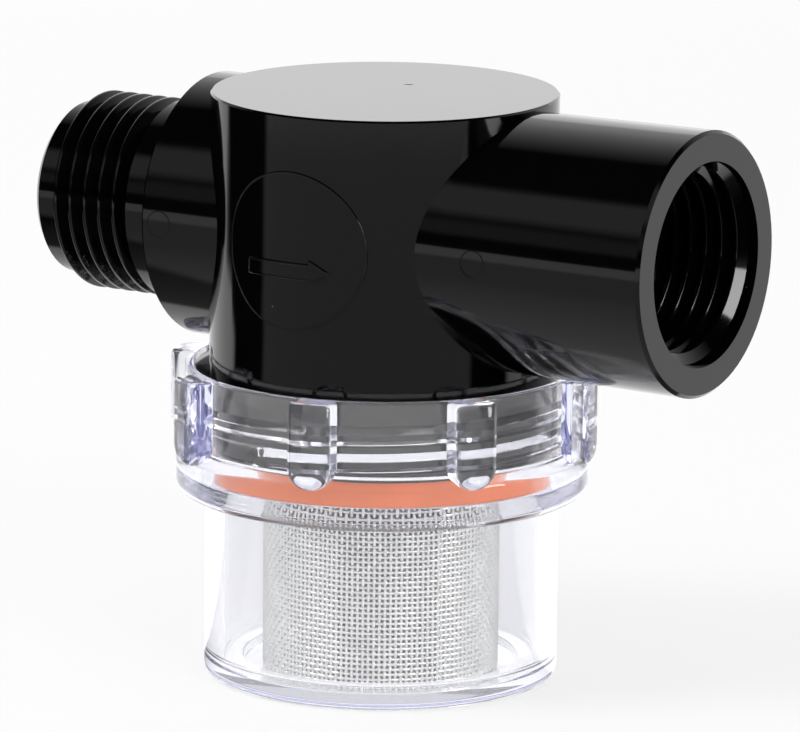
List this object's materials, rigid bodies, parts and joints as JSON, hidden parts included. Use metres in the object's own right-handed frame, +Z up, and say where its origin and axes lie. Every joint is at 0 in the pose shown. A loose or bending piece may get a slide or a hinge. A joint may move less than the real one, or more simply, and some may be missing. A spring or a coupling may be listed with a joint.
{
  "type": "sea water strainer",
  "caption": "Twist-on in-line water strainer: black moulded head with male and female pipe ports over a clear screw-on bowl that holds a mesh screen.",
  "frame": {"origin": "centre of the bowl's flat base", "axes": "+Z up along the bowl's axis, +X along the ports in the direction of flow, from the male inlet to the female outlet; the arrow faces -Y"},
  "size_m": [0.0761, 0.0456, 0.0613],
  "materials": {
    "head": "semi-gloss black moulded nylon",
    "bowl": "clear polycarbonate with a faint lavender tint",
    "gasket": "matte orange silicone rubber",
    "screen": "woven stainless steel wire"
  },
  "bodies": {
    "head": {"head": "head"},
    "screen": {"screen": "screen"},
    "bowl": {"bowl": "bowl", "gasket": "gasket"}
  },
  "joints": [
    {"name": "screen_drop", "type": "slide", "parent": "head", "child": "screen", "axis": [0, 0, -1], "range_m": [0, 0.0042]},
    {"name": "bowl_turn", "type": "hinge", "parent": "screen", "child": "bowl", "pos_m": [0, 0, 0.012], "axis": [0, 0, -1], "range_deg": [0, 540]}
  ],
  "couplings": [
    {"joint": "screen_drop", "follows": "bowl_turn", "m_per_rad": 0.00044563}
  ]
}
